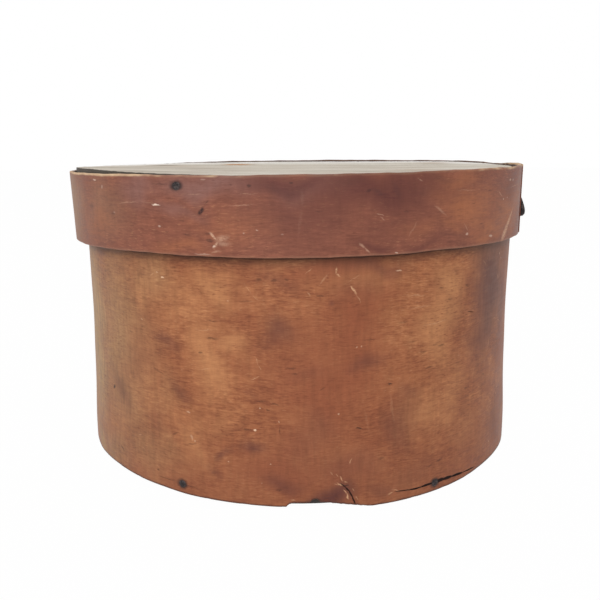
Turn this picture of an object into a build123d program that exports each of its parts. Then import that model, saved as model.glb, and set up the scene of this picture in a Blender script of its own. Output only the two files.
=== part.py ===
from build123d import *
from math import cos, degrees, radians, sin
import os

os.makedirs("parts", exist_ok=True)

# Round bentwood cheese box with a lift-off lid, in millimetres
# Z points up, the front faces -Y, and the origin is the middle of the foot, on the floor
# An azimuth is counted in degrees from the front, -Y, towards the right, +X

# Body band, a thin strip bent round once, with its thinned ends one over the other
base_radius = 150
body_height = 175.4
body_band_thickness = 2.8
body_lap_length = 68
body_lap_azimuth = 150
# Shares of the body's height, and of the depth by which its wall is drawn in there
waist_depth = 2.7
waist_shares = ((0, 0), (0.09, 0), (0.27, 0.63), (0.53, 1), (0.8, 0.78), (1, 0.67))

# Lid band, nailed on a little askew over the body: its right side stands higher
lid_band_room = 1.8
lid_band_flare = 0.8
lid_band_height = 43
lid_band_thickness = 2.5
lid_skirt = 30
lid_lap_length = 79
lid_lap_azimuth = 75
lid_tilt = 0.6
lid_shift = -1.6

# Both laps: the thickness left at a thinned end, the glue line, and how long the rise over the end below is
tip_thickness = 0.7
lap_gap = 0.15
lap_rise_length = 38

# Boards, each disc made of two
board_thickness = 12
board_room = 0.2
board_joint_gap = 0.3
board_edge_break = 0.6
bottom_recess = 3
bottom_joint_offset = -18
lid_board_room = 1
lid_joint_offset = 42

# Cut nails through the bands into the boards, with heads let into the wood
# Each bottom nail has its azimuth and its height
nail_width = 2
nail_tip_width = 0.9
nail_length = 26
nail_head_radius = 2.5
nail_head_thickness = 1.1
nail_sink = 0.7
bottom_nail_places = ((-27.5, 8.4), (32.3, 5.4), (92, 7.5), (141, 7.5), (195, 7.5), (236, 7.5), (276, 7.5))
lid_nail_margin = 5.7
lid_nail_azimuths = (-23.8, 123, 156, 188, 223, 262)

# Lap tacks, clinched on the inner face
tack_width = 1.3
tack_head_radius = 2
tack_head_thickness = 0.7
tack_sink = 0.2
tack_inset = 9
clinch_length = 4
clinch_thickness = 0.6
body_tack_margin = 8
body_tack_count = 6
lid_tack_margin = 8
lid_tack_count = 3

# Fit of heads and clinched ends
head_room = 0.15
seat_gap = 0.35
head_round = 0.4

# Bent nail on the lid band: driven outwards, then turned up along the band
bent_nail_width = 1.5
bent_nail_head_radius = 2.3
bent_nail_head_thickness = 0.7
bent_nail_reach = 3
bent_nail_rise = 14
bent_nail_bend = 1.4
bent_nail_drop = 34.5
bent_nail_inset = 9

# Broken edge at the foot of the body band, in front
# Shares of its width and height, from its left end round to its right end
chip_width = 50
chip_height = 6.9
chip_offset = 15
chip_across_shares = (0, 0.07, 0.11, 0.31, 0.33, 0.39, 0.43, 0.54, 0.7, 0.84, 1)
chip_up_shares = (0, 0.57, 0.68, 0.7, 0.94, 1, 0.71, 0.63, 0.42, 0.22, 0)

# Length by which every cut runs past what it cuts
overrun = 5

lid_band_radius = base_radius + lid_band_room + lid_band_thickness
lid_band_low = body_height - lid_skirt
lid_plane = Plane(
    origin=(lid_shift, 0, lid_band_low),
    x_dir=(cos(radians(lid_tilt)), 0, sin(radians(lid_tilt))),
    z_dir=(-sin(radians(lid_tilt)), 0, cos(radians(lid_tilt))),
)
bottom_board_radius = base_radius - body_band_thickness - board_room
lid_board_radius = lid_band_radius - lid_band_thickness - lid_board_room
lap_step = tip_thickness + lap_gap


def arc_angle(length, radius):
    """The angle in degrees that an arc of this length takes on a circle."""
    return degrees(length / radius)


def polar(radius, azimuth):
    """The point at a distance from the middle, in a direction counted from the front."""
    return Vector(radius * sin(radians(azimuth)), -radius * cos(radians(azimuth)))


def along(azimuth):
    """The way along the wall, towards a growing azimuth."""
    return Vector(cos(radians(azimuth)), sin(radians(azimuth)))


def strip_outline(outer_radius, thickness, lap_length, lap_azimuth):
    """A bent strip seen from above, from its outer end at lap_azimuth once round and on below that end."""
    inner_radius = outer_radius - thickness
    lap = arc_angle(lap_length, outer_radius)
    rise = arc_angle(lap_rise_length, outer_radius)
    lap_middle = lap_azimuth + lap / 2
    lap_far = lap_azimuth + lap
    rise_far = lap_far + rise
    far_turn = 360 + lap_azimuth
    ring_middle = (rise_far + far_turn) / 2
    hollow_middle = (rise_far + 360 + lap_far) / 2
    taper = (thickness + tip_thickness) / 2
    with BuildSketch() as outline:
        with BuildLine():
            # Outer end, from its thin edge over the lap and down the rise, seen from outside
            Line(polar(outer_radius + lap_gap, lap_azimuth), polar(outer_radius + lap_step, lap_azimuth))
            ThreePointArc(
                polar(outer_radius + lap_step, lap_azimuth),
                polar(outer_radius + lap_step, lap_middle),
                polar(outer_radius + lap_step, lap_far),
            )
            Spline(
                polar(outer_radius + lap_step, lap_far),
                polar(outer_radius, rise_far),
                tangents=(along(lap_far), along(rise_far)),
            )
            # Once round, then on below the outer end to the inner end's thin edge
            ThreePointArc(
                polar(outer_radius, rise_far),
                polar(outer_radius, ring_middle),
                polar(outer_radius, far_turn),
            )
            ThreePointArc(
                polar(outer_radius, far_turn),
                polar(inner_radius + taper, lap_middle),
                polar(inner_radius + tip_thickness, lap_far),
            )
            Line(polar(inner_radius + tip_thickness, lap_far), polar(inner_radius, lap_far))
            # Back along the inner face
            ThreePointArc(
                polar(inner_radius, lap_far),
                polar(inner_radius, hollow_middle),
                polar(inner_radius, rise_far),
            )
            Spline(
                polar(inner_radius, rise_far),
                polar(inner_radius + lap_step, lap_far),
                tangents=(-along(rise_far), -along(lap_far)),
            )
            ThreePointArc(
                polar(inner_radius + lap_step, lap_far),
                polar(inner_radius + taper + lap_gap, lap_middle),
                polar(outer_radius + lap_gap, lap_azimuth),
            )
        make_face()
    return outline.sketch


def body_scale(height):
    """How much the body's plan is drawn in at a height, as a factor."""
    share = height / body_height
    for (low, low_waist), (high, high_waist) in zip(waist_shares, waist_shares[1:]):
        if share <= high:
            waist = low_waist + (high_waist - low_waist) * (share - low) / (high - low)
            return 1 - waist_depth * waist / base_radius
    return 1 - waist_depth * waist_shares[-1][1] / base_radius


def lid_scale(height):
    """How much the lid band's plan is opened at a height above its lower edge, as a factor."""
    return 1 + lid_band_flare * height / lid_band_height / lid_band_radius


def radial_spot(radius, azimuth, height):
    """A place with its X axis pointing straight out from the middle."""
    point = polar(radius, azimuth)
    return Location((point.X, point.Y, height), (0, 0, azimuth - 90))


def on_lid(spot):
    """A place given on the lid band's own plane."""
    return lid_plane.location * spot


def nail_shape(head_radius, head_height):
    """A cut nail lying along X, its head's seat at the origin and its point towards -X."""
    with BuildPart() as shape:
        with BuildSketch(Plane.YZ.offset(-nail_length)):
            Rectangle(nail_tip_width, nail_tip_width)
        with BuildSketch(Plane.YZ):
            Rectangle(nail_width, nail_width)
        loft(ruled=True)
        with BuildSketch(Plane.YZ):
            Circle(head_radius)
        extrude(amount=head_height)
    return shape.part


def tack_shape(reach, head_radius, head_height):
    """A tack lying along X, its head's seat at the origin and its shank reaching towards -X."""
    with BuildPart() as shape:
        with BuildSketch(Plane.YZ.offset(-reach)):
            Rectangle(tack_width, tack_width)
        extrude(amount=reach)
        with BuildSketch(Plane.YZ):
            Circle(head_radius)
        extrude(amount=head_height)
    return shape.part


def clinched_tack(wall):
    """A tack through a lap of this thickness, its point turned down on the inner face."""
    reach = wall - tack_sink + seat_gap + clinch_thickness
    with BuildPart() as tack:
        add(tack_shape(reach, tack_head_radius, tack_head_thickness))
        with BuildSketch(Plane.YZ.offset(-reach)):
            Rectangle(tack_width, clinch_length, align=(Align.CENTER, Align.MAX))
        extrude(amount=clinch_thickness)
        fillet(tack.edges().group_by(Axis.X)[-1], head_round)
    return tack.part


def tack_room(wall):
    """The room that a tack takes in its lap."""
    return tack_shape(wall + overrun, tack_head_radius + head_room, tack_head_thickness + overrun)


def column_heights(lowest, highest, count):
    """Evenly spaced heights of the tacks in a column."""
    step = (highest - lowest) / (count - 1)
    return [lowest + step * index for index in range(count)]


# Places of the bottom nails, on the body's wall
bottom_nail_spots = [
    radial_spot(base_radius - nail_sink, azimuth, height) for azimuth, height in bottom_nail_places
]

# Places of the lid nails, on the lid band's own plane
lid_nail_height = lid_band_height - lid_nail_margin
lid_nail_spots = [
    on_lid(radial_spot(lid_band_radius * lid_scale(lid_nail_height) - nail_sink, azimuth, lid_nail_height))
    for azimuth in lid_nail_azimuths
]

# Places of the tacks, in one column near each end of a lap
# The body's are above its bottom boards and below the lid's skirt
body_lap_wall = body_band_thickness + lap_step
body_lap_radius = base_radius + lap_step
body_tack_lowest = bottom_recess + board_thickness + body_tack_margin
body_tack_highest = body_height - lid_skirt - body_tack_margin
body_tack_azimuths = [
    body_lap_azimuth + arc_angle(inset, base_radius) for inset in (tack_inset, body_lap_length - tack_inset)
]
body_tack_spots = [
    radial_spot(body_lap_radius * body_scale(height) - tack_sink, azimuth, height)
    for azimuth in body_tack_azimuths
    for height in column_heights(body_tack_lowest, body_tack_highest, body_tack_count)
]
lid_lap_wall = lid_band_thickness + lap_step
lid_lap_radius = lid_band_radius + lap_step
lid_tack_azimuths = [
    lid_lap_azimuth + arc_angle(inset, lid_band_radius)
    for inset in (2 * tack_inset, lid_lap_length - tack_inset)
]
lid_tack_spots = [
    on_lid(radial_spot(lid_lap_radius * lid_scale(height) - tack_sink, azimuth, height))
    for azimuth in lid_tack_azimuths
    for height in column_heights(lid_tack_margin, lid_band_height - lid_tack_margin, lid_tack_count)
]

# Place of the bent nail: the X axis points outwards, and the origin lies on the band's inner face
bent_nail_height = lid_band_height - bent_nail_drop
bent_nail_spot = on_lid(
    radial_spot(
        (lid_band_radius - lid_band_thickness) * lid_scale(bent_nail_height),
        lid_lap_azimuth + arc_angle(bent_nail_inset, lid_band_radius),
        bent_nail_height,
    )
)

nail_room = nail_shape(nail_head_radius + head_room, nail_head_thickness + overrun)
body_tack_room = tack_room(body_lap_wall)
lid_tack_room = tack_room(lid_lap_wall)
body_outline = strip_outline(base_radius, body_band_thickness, body_lap_length, body_lap_azimuth)
lid_outline = strip_outline(lid_band_radius, lid_band_thickness, lid_lap_length, lid_lap_azimuth)

# Body band: the strip's plan carried up through the drawn-in waist
with BuildPart() as body_band:
    for height_share, waist_share in waist_shares:
        with BuildSketch(Plane.XY.offset(height_share * body_height)):
            add(body_outline)
            scale(by=1 - waist_depth * waist_share / base_radius)
    loft()
    # Broken edge in front, with the notch of a lost nail
    with BuildSketch(Plane.XZ.offset(base_radius - body_band_thickness - overrun)):
        with BuildLine(Location((chip_offset - chip_width / 2, 0))):
            Polyline(
                (0, -overrun),
                *[
                    (across * chip_width, up * chip_height)
                    for across, up in zip(chip_across_shares, chip_up_shares)
                ],
                (chip_width, -overrun),
                close=True,
            )
        make_face()
    extrude(amount=body_band_thickness + 2 * overrun, mode=Mode.SUBTRACT)
    with Locations(*bottom_nail_spots):
        add(nail_room, mode=Mode.SUBTRACT)
    with Locations(*body_tack_spots):
        add(body_tack_room, mode=Mode.SUBTRACT)

# Bottom boards, level with the joint between them, let in a little above the foot of the band
with BuildPart() as bottom_board_front:
    with BuildSketch(Plane.XY.offset(bottom_recess)):
        Circle(bottom_board_radius)
    extrude(amount=board_thickness)
    split(bisect_by=Plane.XZ.offset(board_joint_gap / 2 - bottom_joint_offset), keep=Keep.TOP)
    with Locations(*bottom_nail_spots):
        add(nail_room, mode=Mode.SUBTRACT)

with BuildPart() as bottom_board_back:
    with BuildSketch(Plane.XY.offset(bottom_recess)):
        Circle(bottom_board_radius)
    extrude(amount=board_thickness)
    split(bisect_by=Plane.XZ.offset(-board_joint_gap / 2 - bottom_joint_offset), keep=Keep.BOTTOM)
    with Locations(*bottom_nail_spots):
        add(nail_room, mode=Mode.SUBTRACT)

# Lid band: the strip's plan on its tilted plane, opening a little towards the rim
with BuildPart() as lid_band:
    for height in (0, lid_band_height):
        with BuildSketch(lid_plane.offset(height)):
            add(lid_outline)
            scale(by=lid_scale(height))
    loft()
    with Locations(*lid_nail_spots):
        add(nail_room, mode=Mode.SUBTRACT)
    with Locations(*lid_tack_spots):
        add(lid_tack_room, mode=Mode.SUBTRACT)
    # Hole for the bent nail
    with Locations(bent_nail_spot):
        Box(lid_lap_wall + 2 * overrun, bent_nail_width, bent_nail_width, mode=Mode.SUBTRACT)

# Lid boards, lying level on the rim of the body
with BuildPart() as lid_board_front:
    with BuildSketch(Plane.XY.offset(body_height)):
        with Locations((lid_shift, 0)):
            Circle(lid_board_radius)
    extrude(amount=board_thickness)
    chamfer(lid_board_front.edges().group_by(Axis.Z)[-1], board_edge_break)
    split(bisect_by=Plane.XZ.offset(board_joint_gap / 2 - lid_joint_offset), keep=Keep.TOP)
    with Locations(*lid_nail_spots):
        add(nail_room, mode=Mode.SUBTRACT)

with BuildPart() as lid_board_back:
    with BuildSketch(Plane.XY.offset(body_height)):
        with Locations((lid_shift, 0)):
            Circle(lid_board_radius)
    extrude(amount=board_thickness)
    chamfer(lid_board_back.edges().group_by(Axis.Z)[-1], board_edge_break)
    split(bisect_by=Plane.XZ.offset(-board_joint_gap / 2 - lid_joint_offset), keep=Keep.BOTTOM)
    with Locations(*lid_nail_spots):
        add(nail_room, mode=Mode.SUBTRACT)

# One nail of each kind, and then all of them in their places
with BuildPart() as board_nail:
    add(nail_shape(nail_head_radius, nail_head_thickness))
    fillet(board_nail.edges().group_by(Axis.X)[-1], head_round)

with BuildPart() as bottom_nails:
    with Locations(*bottom_nail_spots):
        add(board_nail.part)

with BuildPart() as lid_nails:
    with Locations(*lid_nail_spots):
        add(board_nail.part)

with BuildPart() as body_lap_tacks:
    with Locations(*body_tack_spots):
        add(clinched_tack(body_lap_wall))

with BuildPart() as lid_lap_tacks:
    with Locations(*lid_tack_spots):
        add(clinched_tack(lid_lap_wall))

# Bent nail: head inside, shank out through the lap, then up and back to the band
bent_nail_far = lid_lap_wall + bent_nail_reach - bent_nail_width / 2
with BuildPart() as bent_nail:
    with BuildLine(Plane.XZ):
        FilletPolyline(
            (-seat_gap, 0),
            (bent_nail_far, 0),
            (lid_lap_wall + bent_nail_width / 2 + seat_gap, bent_nail_rise),
            radius=bent_nail_bend,
        )
    with BuildSketch(Plane.YZ.offset(-seat_gap)):
        Rectangle(bent_nail_width, bent_nail_width)
    sweep()
    with BuildSketch(Plane.YZ.offset(-seat_gap)):
        Circle(bent_nail_head_radius)
    extrude(amount=-bent_nail_head_thickness)

with BuildPart() as lid_bent_nail:
    with Locations(bent_nail_spot):
        add(bent_nail.part)

body_band.part.label = "body_band"
bottom_board_front.part.label = "bottom_board_front"
bottom_board_back.part.label = "bottom_board_back"
lid_band.part.label = "lid_band"
lid_board_front.part.label = "lid_board_front"
lid_board_back.part.label = "lid_board_back"
bottom_nails.part.label = "bottom_nails"
lid_nails.part.label = "lid_nails"
body_lap_tacks.part.label = "body_lap_tacks"
lid_lap_tacks.part.label = "lid_lap_tacks"
lid_bent_nail.part.label = "lid_bent_nail"

export_step(body_band.part, "parts/body_band.step")
export_step(bottom_board_front.part, "parts/bottom_board_front.step")
export_step(bottom_board_back.part, "parts/bottom_board_back.step")
export_step(lid_band.part, "parts/lid_band.step")
export_step(lid_board_front.part, "parts/lid_board_front.step")
export_step(lid_board_back.part, "parts/lid_board_back.step")
export_step(bottom_nails.part, "parts/bottom_nails.step")
export_step(lid_nails.part, "parts/lid_nails.step")
export_step(body_lap_tacks.part, "parts/body_lap_tacks.step")
export_step(lid_lap_tacks.part, "parts/lid_lap_tacks.step")
export_step(lid_bent_nail.part, "parts/lid_bent_nail.step")
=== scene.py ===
from math import atan2, cos, degrees, hypot, pi, radians, sin

import bmesh
import bpy
import numpy as np
from mathutils import Matrix, Vector


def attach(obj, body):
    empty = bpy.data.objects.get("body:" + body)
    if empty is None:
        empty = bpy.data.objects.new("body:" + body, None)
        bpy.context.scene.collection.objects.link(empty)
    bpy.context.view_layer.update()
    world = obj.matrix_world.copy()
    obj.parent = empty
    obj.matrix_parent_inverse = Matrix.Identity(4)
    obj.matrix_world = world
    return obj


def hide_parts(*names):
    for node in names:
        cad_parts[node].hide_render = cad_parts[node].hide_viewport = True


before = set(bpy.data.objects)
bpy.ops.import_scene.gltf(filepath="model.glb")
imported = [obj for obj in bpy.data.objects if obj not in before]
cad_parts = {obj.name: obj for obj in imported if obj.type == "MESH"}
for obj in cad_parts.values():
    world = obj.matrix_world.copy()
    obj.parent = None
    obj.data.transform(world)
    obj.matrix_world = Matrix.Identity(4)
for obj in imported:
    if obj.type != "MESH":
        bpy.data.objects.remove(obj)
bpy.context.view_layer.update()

# Sizes in millimetres, the same as the solids'
# An azimuth is counted in degrees from the front, -Y, towards the right, +X
mm = 0.001
weld_distance = 0.002 * mm
sharp_angle = radians(50)
# Columns round a bent strip, and the least degrees between two
column_count, closest_columns = 400, 0.06
# Points round a corner of a section, up a board's edge below the corner, and across its face
corner_points, wall_points, across_points = 5, 4, 119
# Where a board's sections lie from its far end to its joint, closer together there
board_sections = np.concatenate([np.linspace(0, 0.975, 120), np.linspace(0.978, 1, 11)])
# Points round a nail's head and round its shank
head_points, rod_points = 20, 12
base_radius = 150
body_height = 175.4
body_thickness = 2.8
body_lap_azimuth = 150
body_lap_length = 68
waist_depth = 2.7
waist_shares = (0, 0.09, 0.27, 0.53, 0.8, 1)
waist_depths = (0, 0, 0.63, 1, 0.78, 0.67)
lid_radius = 154.3
lid_flare = 0.8
lid_right_swell = 0.7
lid_set_in = 0.36
lid_height = 43
lid_thickness = 2.5
lid_lap_azimuth = 75
lid_lap_length = 79
lid_low = 145.4
lid_tilt = radians(0.6)
lid_shift = -1.6
tip_thickness = 0.7
lap_gap = 0.15
lap_step = tip_thickness + lap_gap
lap_rise_length = 38
board_thickness = 12
board_gap = 0.15
bottom_low = 3
bottom_radius = 147
bottom_joint = -18
lid_board_radius = 150.8
lid_joint = 42
# A sliver at the joint of the lid's boards, and a place further left where the edge is lifted
sliver_x = -48
lifted_x = -103
chip_width = 50
chip_height = 6.9
chip_offset = 15
chip_across = (0, 0.07, 0.11, 0.31, 0.33, 0.39, 0.43, 0.54, 0.7, 0.84, 1)
chip_up = (0, 0.57, 0.68, 0.7, 0.94, 1, 0.71, 0.63, 0.42, 0.22, 0)
# Worn edges: the height of each at some azimuths, the body's above the floor and the lid's above lid_low
foot_turns = (-180, -120, -64, -52, -41, -33, -26, -17, -6, 3, 10, 16, 25, 37, 43, 49, 55, 90, 130, 180)
foot_heights = (0.7, 0.9, 2.6, 3.3, 2.9, 2.8, 2.4, 2.6, 2.3, 2.4, 2, 0, 0, 0.2, 0.7, 1.5, 1.9, 1.2, 0.4, 0.7)
lid_foot_turns = (
    -180, -120, -90, -66, -48, -36, -27, -20, -10, 0, 8, 18, 29, 39, 52, 64, 75, 90, 110, 140, 180,
)
lid_foot_heights = (
    0.2, -0.8, -2.8, -1, -0.1, 0.6, 0.6, 0.3, 0.1, -0.2, 0, -0.4, 0, -0.4, -1.2, -1.6, -2.7, -3.6, -1.8, 0,
    0.2,
)
rim_turns = (-180, -146, -110, -82, -60, -32, -10, 12, 30, 45, 60, 72, 91, 97, 103, 108, 128, 158, 180)
rim_heights = (
    43.2, 43.5, 42.8, 42.4, 42.9, 43.0, 42.7, 42.6, 42.8, 42.6, 42.4, 42.4, 42.5, 41.6, 41.4, 42.3, 42.5,
    42.8, 43.2,
)
# Nail heads: radius, thickness and crown
nail_head_size = (2.45, 0.7, 0.45)
tack_head_size = (1.95, 0.3, 0.25)
bent_head_size = (2.2, 0.4, 0.3)
nail_length = 26
nail_sunk = 0.75
tack_sunk = 0.15
bent_nail_sunk = 0.2
bent_nail_azimuth = 78.34
bent_nail_height = 8.5
# Places of the nails and tacks: azimuth and height
bottom_nails = ((-27.5, 8.4), (32.3, 5.4), (92, 7.5), (141, 7.5), (195, 7.5), (236, 7.5), (276, 7.5))
lid_nails = [(azimuth, 37.3) for azimuth in (-23.8, 123, 156, 188, 223, 262)]
body_tacks = [(azimuth, 23 + 22.88 * row) for azimuth in (153.44, 172.54) for row in range(6)]
lid_tacks = [(azimuth, 8 + 13.5 * row) for azimuth in (81.68, 100.99) for row in range(3)]


# Shapes


def smooth_step(share):
    """0 below 0, 1 above 1, and eased in between."""
    share = np.clip(share, 0, 1)
    return share * share * (3 - 2 * share)


def waves(angle, height, strengths, turns, climbs, phases):
    """A sum of sines round the wall, each with whole turns round it, so that it closes on itself."""
    total = 0
    for strength, turn, climb, phase in zip(strengths, turns, climbs, phases):
        total = total + strength * np.sin(turn * angle + climb * height + phase)
    return total


def turned(angle):
    """An angle in radians as an azimuth from -180 to 180."""
    return np.mod(np.degrees(angle) + 180, 360) - 180


def body_ripple(angle, height):
    """How far the body's wall stands out of true, in mm."""
    strengths, climbs = (0.22, 0.16, 0.1, 0.06, 0.04), (0.006, -0.02, 0.03, -0.05, 0.11)
    return waves(angle, height, strengths, (3, 5, 9, 17, 31), climbs, (0.4, 2.1, 4.4, 1.2, 3.3))


def lid_ripple(angle, height):
    """How far the lid band stands out of true, in mm. It is set in a little to stay in the solid's box."""
    strengths, climbs = (0.18, 0.12, 0.08, 0.05, 0.03), (0.01, 0.03, -0.05, 0.08, -0.15)
    return waves(angle, height, strengths, (2, 5, 8, 19, 37), climbs, (1.4, 0.3, 2.4, 5.2, 4.1)) - lid_set_in


def body_plan(angle, height):
    """Factor by which the body's plan is drawn in at a height. The waist is averaged over nearby heights."""
    nearby = [(height + offset) / body_height for offset in (-9, -3, 3, 9)]
    waist = np.mean([np.interp(share, waist_shares, waist_depths) for share in nearby], axis=0)
    return 1 - waist_depth * waist / base_radius + body_ripple(angle, height) / base_radius


def lid_plan(angle, height):
    """Factor by which the lid band's plan opens towards its rim, and less so at the right front."""
    upright = lid_right_swell * np.maximum(0, np.sin(angle + 0.56)) ** 12 * (1 - height / lid_height)
    return 1 + (lid_flare * height / lid_height + upright + lid_ripple(angle, height)) / lid_radius


def body_foot(angle):
    """Height of the body's lower edge. It stands on its right front and is worn elsewhere, most at the left.

    One place in front is broken out higher."""
    worn = np.interp(turned(angle), foot_turns, foot_heights)
    across = (base_radius * np.sin(angle) - chip_offset) / chip_width + 0.5
    broken = chip_height * np.interp(across, chip_across, chip_up, left=0, right=0) * (np.cos(angle) > 0)
    ragged = 0.5 + 0.5 * np.sin(angle * 611) * np.sin(angle * 377 + 1)
    nicks = 0.12 * smooth_step(np.sin(angle * 23) * np.sin(angle * 61 + 2) * 3 - 1.5)
    return np.maximum(worn, broken + 0.3 * ragged * (broken > 0.2)) + nicks


def body_rim(angle):
    """Height of the body's upper edge, which carries the lid's boards."""
    return body_height - 0.12 * (1 + np.sin(7 * angle + 1))


def lid_foot(angle):
    """Height of the lid band's lower edge, a little worn."""
    sweep = np.interp(turned(angle), lid_foot_turns, lid_foot_heights)
    return sweep + waves(angle, 0, (0.1, 0.06), (23, 61), (0, 0), (2, 4))


def lid_rim(angle):
    """Height of the lid band's rim, with worn dips."""
    sweep = np.interp(turned(angle), rim_turns, rim_heights)
    return sweep + waves(angle, 0, (0.12, 0.1, 0.06, 0.04), (9, 21, 43, 88), (0, 0, 0, 0), (1, 2.6, 0.4, 5))


def strip_columns(lap_azimuth, lap, zones):
    """Azimuths of the columns of a bent strip, closer together in some zones of it."""
    stretches = ((lap_azimuth, 360 + lap_azimuth + lap, column_count), *zones)
    azimuths = np.unique(np.concatenate([np.linspace(*stretch) for stretch in stretches]).round(3))
    return azimuths[np.append(True, np.diff(azimuths) > closest_columns)]


def strip_sides(turn, radius, thickness, lap, rise):
    """Outer and inner radius of a bent strip, by the degrees from its outer end.

    The outer leaf lies a step further out over the inner end and eases down past it. Both ends are pared to
    a thin edge on the side where they meet."""
    step = lap_step * smooth_step(1 - (turn - lap) / rise)
    outer_paring = (thickness - tip_thickness) * np.clip(1 - turn / lap, 0, 1)
    inner_paring = (thickness - tip_thickness) * np.clip((turn - 360) / lap, 0, 1)
    return radius + step - inner_paring, radius - thickness + step + outer_paring


def face_rows(low_round, high_round, main):
    """Rows up one face of a strip: round its lower edge, up the face, and round its upper edge.

    Gives for each row its share of the height, what is added to that, and how far it is set in."""
    quarter = np.linspace(0, pi / 2, corner_points)
    straight = main[1:-1]
    low_curve, high_curve = low_round * (1 - np.cos(quarter)), high_round * (1 - np.cos(quarter[::-1]))
    low_inset, high_inset = low_round * (1 - np.sin(quarter)), high_round * (1 - np.sin(quarter[::-1]))
    share = np.concatenate([np.zeros(corner_points), straight, np.ones(corner_points)])
    lift = np.concatenate([low_curve, low_round * (1 - straight) - high_round * straight, -high_curve])
    return share, lift, np.concatenate([low_inset, 0 * straight, high_inset])


def bent_strip(radius, thickness, lap_azimuth, lap_length, zones, main, rounds, foot, rim, plan):
    """A strip bent round once, its section carried along it from the outer end to the end below.

    The section goes up the outer face and down the inner one. Gives the points, the faces, the place of
    each point on the flat strip (length from the front, height, share of the thickness), and how far it is
    below the strip's upper edge, above its lower edge and below the closed lid's edge, all in mm."""
    lap, rise = degrees(lap_length / radius), degrees(lap_rise_length / radius)
    azimuth = strip_columns(lap_azimuth, lap, zones)[:, None]
    outer, inner = strip_sides(azimuth - lap_azimuth, radius, thickness, lap, rise)
    angle = np.radians(azimuth)
    share, lift, inset = face_rows(*rounds, main)
    low, high = foot(angle), rim(angle)
    height = low + (high - low) * share + lift
    thin = np.minimum(1, (outer - inner) / thickness)
    outer_face = (outer - inset * thin) * plan(angle, height)
    inner_face = (inner + inset * thin) * plan(angle, height)
    reach = np.hstack([outer_face, inner_face[:, ::-1]])
    up = np.hstack([height, height[:, ::-1]])
    depth = np.tile(inset / thickness, (len(azimuth), 1))
    depth = np.hstack([depth, 1 - depth[:, ::-1]])
    points = np.stack([reach * np.sin(angle), -reach * np.cos(angle), up], axis=-1)
    along = np.radians(azimuth - 360) * radius + 0 * up
    place = np.stack([along, up, depth], axis=-1)
    lid_edge = lid_low + lid_radius * sin(lid_tilt) * np.sin(angle) + lid_foot(angle)
    edges = np.stack([high - up, up - low, lid_edge - up], axis=-1)
    loop = up.shape[1]
    faces = np.concatenate([
        tube_faces(len(azimuth), loop),
        paired_end(loop, 0),
        paired_end(loop, loop * (len(azimuth) - 1))[:, ::-1],
    ])
    return points.reshape(-1, 3), faces, place.reshape(-1, 3), edges.reshape(-1, 3)


def soft_patches(place, table):
    """At each point of a strip, the strongest of several soft oval patches with uneven outlines."""
    along, up = place[:, 0], place[:, 1]
    along = along + 3.5 * np.sin(up / 9 + along / 23) + 2 * np.sin(up / 5.3 + along / 11 + 1)
    up = up + 2.5 * np.sin(along / 8 + up / 17) + 1.4 * np.sin(along / 3.7 + 2)
    total = 0 * along
    for middle_along, middle_up, length, height, tilt, strength in table:
        x, y, turn = along - middle_along, up - middle_up, radians(tilt)
        lengthways, across = x * cos(turn) + y * sin(turn), y * cos(turn) - x * sin(turn)
        distance = np.hypot(lengthways / (length / 2), across / (height / 2))
        total = np.maximum(total, strength * smooth_step(1 - distance))
    return total


def tube_faces(columns, loop):
    """Quads of a row of closed loops with the same number of points."""
    index = np.arange(columns * loop).reshape(columns, loop)
    beside = np.roll(index, -1, axis=1)
    return np.stack([index[:-1], index[1:], beside[1:], beside[:-1]], axis=-1).reshape(-1, 4)


def paired_end(loop, first):
    """Quads that close a loop whose first and last points, and so on inwards, lie opposite each other."""
    near = first + np.arange(loop // 2 - 1)
    far = first + loop - 1 - np.arange(loop // 2 - 1)
    return np.stack([near, near + 1, far - 1, far], axis=-1)


def on_lid(points):
    """Points given on the lid band's own plane, which leans and lies a little to the left, in the frame."""
    x, y, z = np.moveaxis(points, -1, 0)
    leaning_x = lid_shift + x * cos(lid_tilt) - z * sin(lid_tilt)
    return np.stack([leaning_x, y, lid_low + x * sin(lid_tilt) + z * cos(lid_tilt)], axis=-1)


def board_relief(x, y, joint, cup):
    """Height of a board's face: hollow across the grain, ridged along it, and rounded at the joint."""
    ridges = 0.07 * np.sin(y * 1.3 + 0.6 * np.sin(x / 70)) + 0.05 * np.sin(y * 3.1 + np.sin(x / 40 + y / 9))
    hollow = cup * np.sin((y - joint) / 46 + 0.4) * np.cos(x / 130)
    worn_joint = 0.55 * np.exp(-(((y - joint) / 0.9) ** 2))
    dents = 0.12 * np.sin(x / 17 + 2 * np.sin(y / 23)) * np.sin(y / 13 + 1)
    return ridges + hollow - worn_joint + dents


def board_warp(x, y):
    """How far the lid's boards are bent out of flat: up at the left front and, less, at the back right.

    A sliver of the back board's front edge also stands up a little, and so does the edge further left."""
    azimuth = np.degrees(np.arctan2(x, -y))
    outwards = smooth_step((np.hypot(x, y) - 60) / 90)
    raised = 2.1 * np.exp(-(((azimuth + 60) / 30) ** 2)) + 0.95 * np.exp(-(((azimuth - 122) / 26) ** 2))
    lifted = 0.7 * np.exp(-(((x - sliver_x) / 15) ** 2)) + 0.5 * np.exp(-(((x - lifted_x) / 17) ** 2))
    sliver = lifted * np.exp(-(y - lid_joint) / 12) * (y > lid_joint)
    return raised * outwards + sliver - 0.15 * smooth_step((y - 70) / 70)


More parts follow.
